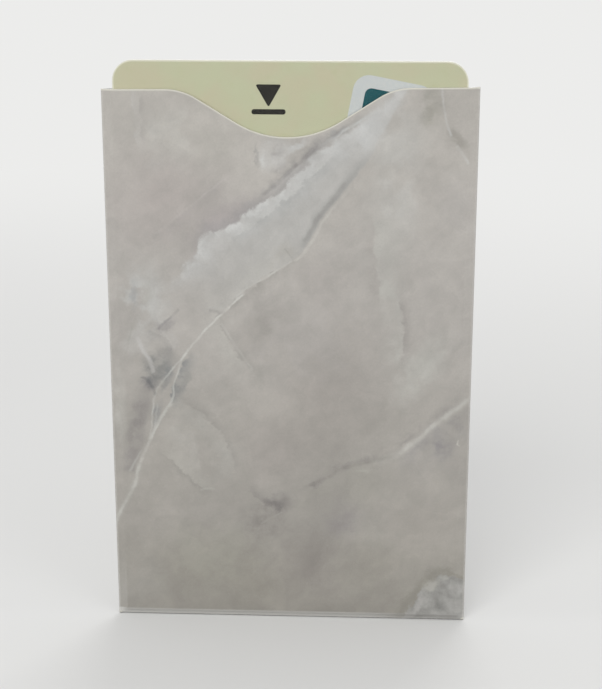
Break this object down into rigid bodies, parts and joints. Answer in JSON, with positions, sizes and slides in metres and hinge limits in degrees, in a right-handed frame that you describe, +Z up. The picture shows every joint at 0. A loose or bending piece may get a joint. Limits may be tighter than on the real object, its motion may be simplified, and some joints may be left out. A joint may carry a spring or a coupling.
{
  "type": "key card envelope",
  "caption": "Flat foil-lined paper sleeve with a wave-shaped thumb notch, folded from a glued sheet, holding a laminated contactless card that slides up out of its open mouth.",
  "frame": {"origin": "middle of the width and thickness, at the level of the bottom fold's lowest edge", "axes": "+Z up towards the open mouth, -Y out of the front panel with the thumb notch, +X to the right seen from the front"},
  "size_m": [0.0576, 0.0018, 0.0921],
  "materials": {
    "marble_paper": "smooth printed paper with a pale grey marble pattern",
    "aluminium_foil": "thin laminated foil, satin",
    "seam_glue": "dried glue film",
    "clear_film": "clear satin film",
    "card_print": "pale olive print on plastic sheet",
    "card_core": "white plastic sheet",
    "copper_wire": "lacquered copper wire",
    "contact_metal": "plated contact strip",
    "chip_moulding": "black moulding compound"
  },
  "bodies": {
    "sleeve": {"sleeve_paper": "marble_paper", "foil_lining": "aluminium_foil", "side_seam_glue": "seam_glue", "bottom_seam_glue": "seam_glue"},
    "card": {"card_front_overlay": "clear_film", "card_front_sheet": "card_print", "inlay_cover_sheet": "card_core", "antenna_coil": "copper_wire", "chip_module_body": "chip_moulding", "chip_contact_inner": "contact_metal", "chip_contact_outer": "contact_metal", "inlay_base_sheet": "card_core", "card_back_sheet": "card_core", "card_back_overlay": "clear_film"}
  },
  "joints": [
    {"name": "card_slide", "type": "slide", "parent": "sleeve", "child": "card", "axis": [0, 0, 1], "range_m": [-0.00521, 0.076]}
  ]
}
